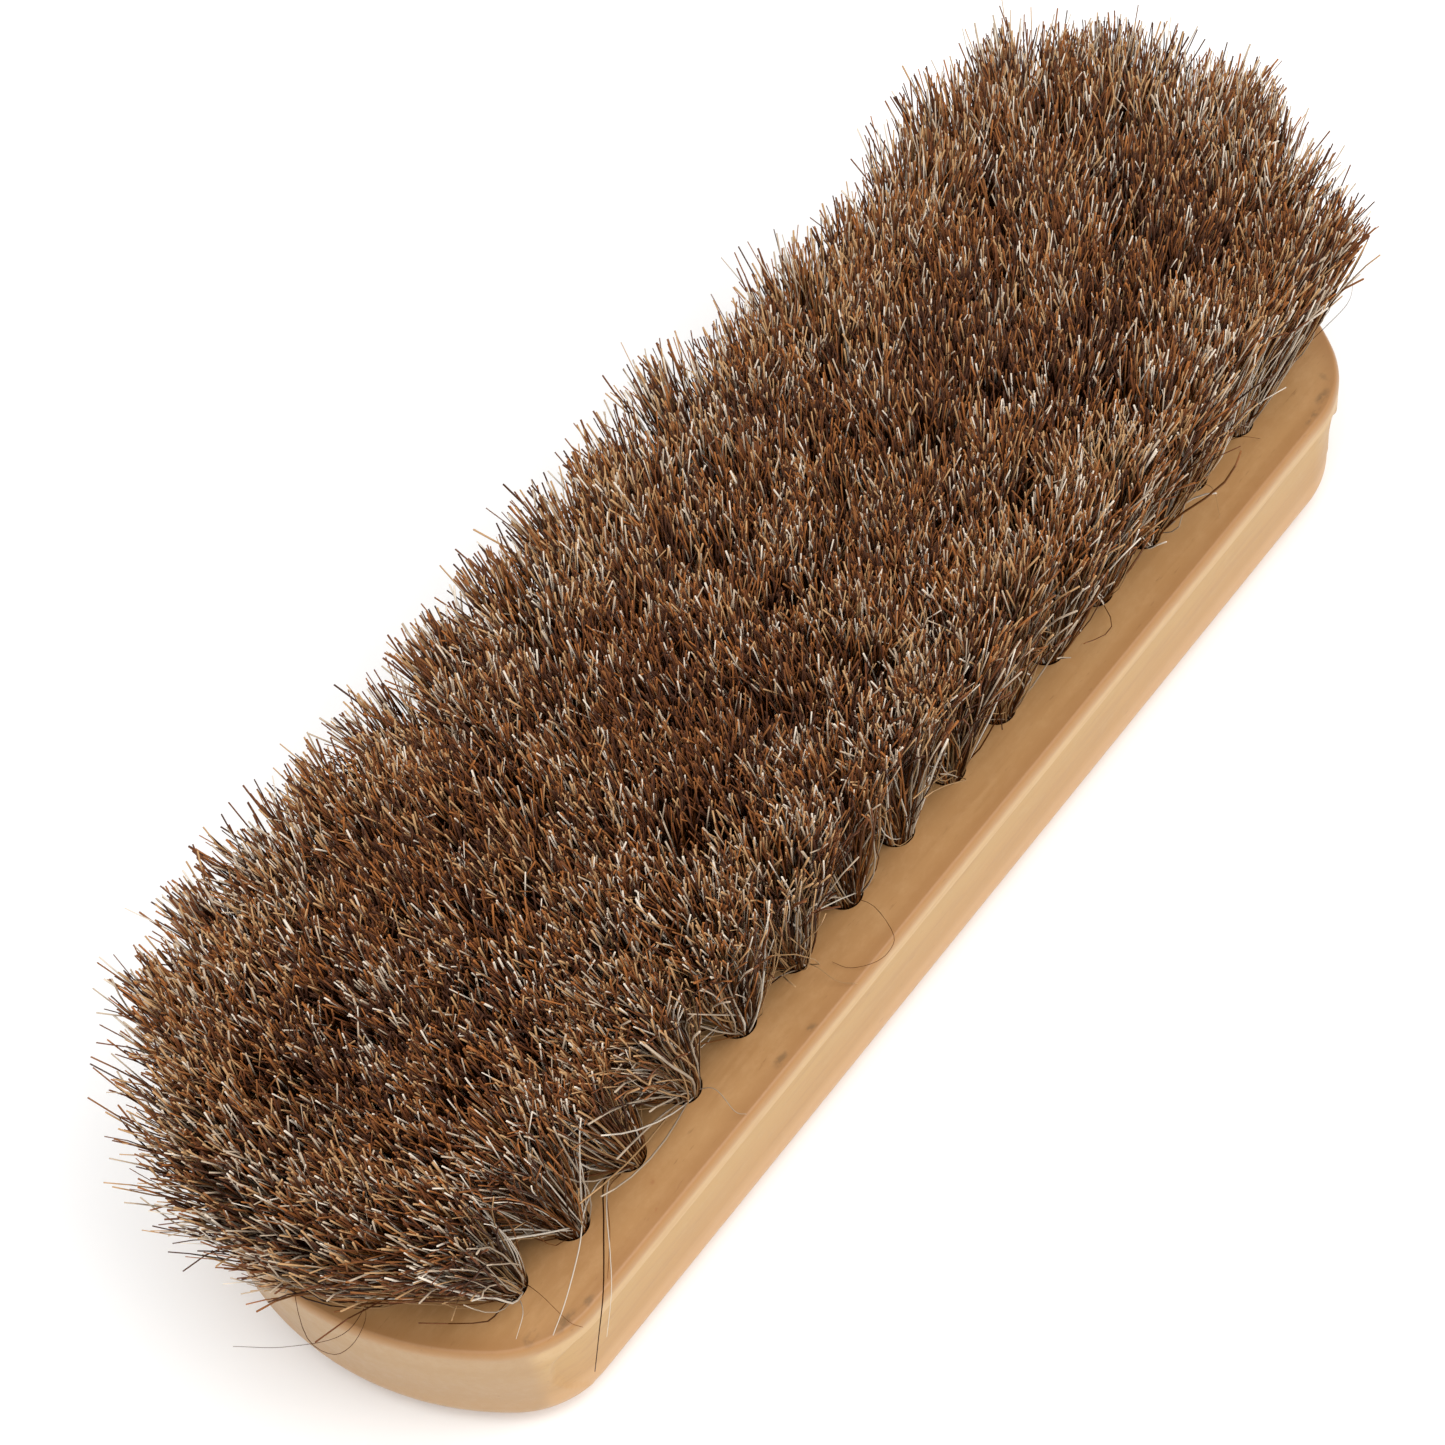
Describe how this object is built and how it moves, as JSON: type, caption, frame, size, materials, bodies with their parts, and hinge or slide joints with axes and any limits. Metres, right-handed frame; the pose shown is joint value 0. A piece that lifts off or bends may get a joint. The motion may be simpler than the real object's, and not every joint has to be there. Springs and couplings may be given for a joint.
{
  "type": "bee brush",
  "caption": "Hand brush with a rounded hardwood block, a finger groove along each long side and splayed folded horsehair tufts set in staggered blind holes.",
  "frame": {"origin": "middle of the flat back of the block, which the brush lies on", "axes": "+X along the block's length, +Y across it, +Z from the back towards the bristle tips"},
  "size_m": [0.1782, 0.0557, 0.0456],
  "materials": {
    "varnished_wood": "satin",
    "horsehair": "matte",
    "anchor_wire": "satin"
  },
  "bodies": {
    "root": {"bundle_inner_left_01": "horsehair", "bundle_inner_left_02": "horsehair", "bundle_inner_left_03": "horsehair", "bundle_inner_left_04": "horsehair", "bundle_inner_left_05": "horsehair", "bundle_inner_right_01": "horsehair", "bundle_inner_right_02": "horsehair", "bundle_inner_right_03": "horsehair", "bundle_inner_right_04": "horsehair", "bundle_inner_right_05": "horsehair", "bundle_middle_01": "horsehair", "bundle_middle_02": "horsehair", "bundle_middle_03": "horsehair", "bundle_middle_04": "horsehair", "bundle_middle_05": "horsehair", "tuft_inner_left_01": "horsehair", "tuft_inner_left_17": "horsehair", "tuft_inner_right_01": "horsehair", "tuft_inner_right_17": "horsehair", "tuft_left_01": "horsehair", "tuft_left_02": "horsehair", "tuft_left_03": "horsehair", "tuft_left_04": "horsehair", "tuft_left_05": "horsehair", "tuft_left_06": "horsehair", "tuft_left_07": "horsehair", "tuft_left_08": "horsehair", "tuft_left_09": "horsehair", "tuft_left_10": "horsehair", "tuft_left_11": "horsehair", "tuft_left_12": "horsehair", "tuft_left_13": "horsehair", "tuft_left_14": "horsehair", "tuft_left_15": "horsehair", "tuft_left_16": "horsehair", "tuft_middle_01": "horsehair", "tuft_middle_16": "horsehair", "tuft_right_01": "horsehair", "tuft_right_02": "horsehair", "tuft_right_03": "horsehair", "tuft_right_04": "horsehair", "tuft_right_05": "horsehair", "tuft_right_06": "horsehair", "tuft_right_07": "horsehair", "tuft_right_08": "horsehair", "tuft_right_09": "horsehair", "tuft_right_10": "horsehair", "tuft_right_11": "horsehair", "tuft_right_12": "horsehair", "tuft_right_13": "horsehair", "tuft_right_14": "horsehair", "tuft_right_15": "horsehair", "tuft_right_16": "horsehair", "wood_block": "varnished_wood"}
  },
  "joints": []
}
